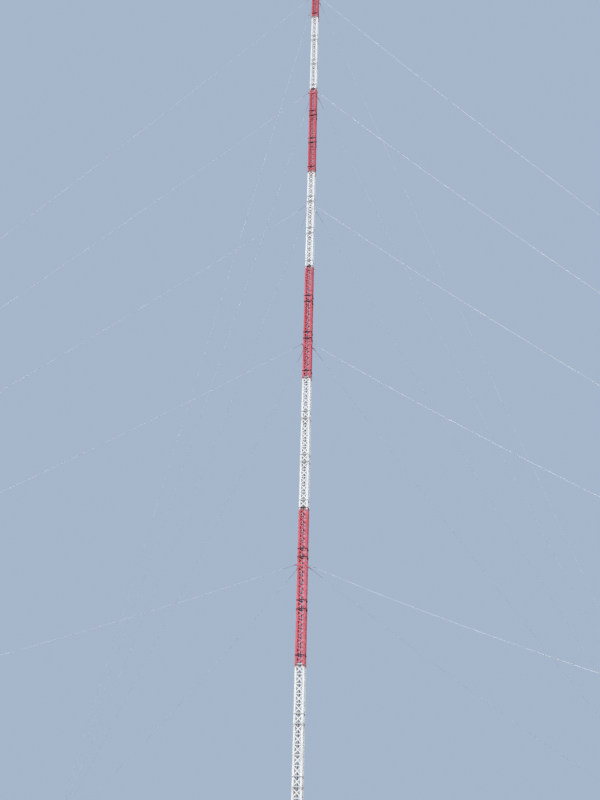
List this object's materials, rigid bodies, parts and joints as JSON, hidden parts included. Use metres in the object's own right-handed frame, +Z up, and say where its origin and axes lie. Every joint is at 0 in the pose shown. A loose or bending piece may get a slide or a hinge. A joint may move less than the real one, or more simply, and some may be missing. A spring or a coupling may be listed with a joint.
{
  "type": "scale model of a guyed wind measurement mast, 1:2",
  "caption": "Half-size model of a slim guyed lattice mast, painted in red and white bands, that carries wind instruments at its top and is held by guys to ground anchors.",
  "frame": {"origin": "the middle of the underside of the mast's foundation block, at ground level", "axes": "+Z up along the mast, +X to the right and -Y towards the viewer, square to the mast's sides, with the guys on the diagonals"},
  "size_m": [26.4506, 26.4506, 37.142],
  "materials": {
    "paint_red": "weathered gloss red paint",
    "paint_white": "weathered gloss white paint",
    "galvanised_steel": "hot-dip galvanised, dull",
    "guy_strand": "galvanised wire strand",
    "concrete": "cast concrete, rough",
    "cable_black": "black cable sheath",
    "boom_aluminium": "drawn tube, satin",
    "instrument_dark": "black moulded plastic",
    "screen_white": "white moulded plastic"
  },
  "bodies": {
    "root": {"air_sensor": "screen_white", "anchor_blocks": "concrete", "anchor_plates": "galvanised_steel", "anemometer_boom": "boom_aluminium", "anemometers": "instrument_dark", "band_1_bracing": "paint_white", "band_1_legs": "paint_white", "band_1_rings": "paint_white", "band_2_bracing": "paint_red", "band_2_legs": "paint_red", "band_2_rings": "paint_red", "band_3_bracing": "paint_white", "band_3_legs": "paint_white", "band_3_rings": "paint_white", "band_4_bracing": "paint_red", "band_4_legs": "paint_red", "band_4_rings": "paint_red", "band_5_bracing": "paint_white", "band_5_legs": "paint_white", "band_5_rings": "paint_white", "band_6_bracing": "paint_red", "band_6_legs": "paint_red", "band_6_rings": "paint_red", "band_7_bracing": "paint_white", "band_7_legs": "paint_white", "band_7_rings": "paint_white", "band_8_bracing": "paint_red", "band_8_legs": "paint_red", "band_8_rings": "paint_red", "base_frame": "galvanised_steel", "base_pivot": "galvanised_steel", "base_plate": "galvanised_steel", "cable_run": "cable_black", "foundation_block": "concrete", "guy_frame_1": "paint_red", "guy_frame_2": "paint_red", "guy_frame_3": "paint_white", "guy_frame_4": "paint_red", "guy_frame_5": "paint_red", "guys": "guy_strand", "lightning_rod": "galvanised_steel", "top_plate": "paint_red", "vane_boom": "boom_aluminium", "wind_vane": "instrument_dark"}
  },
  "joints": []
}
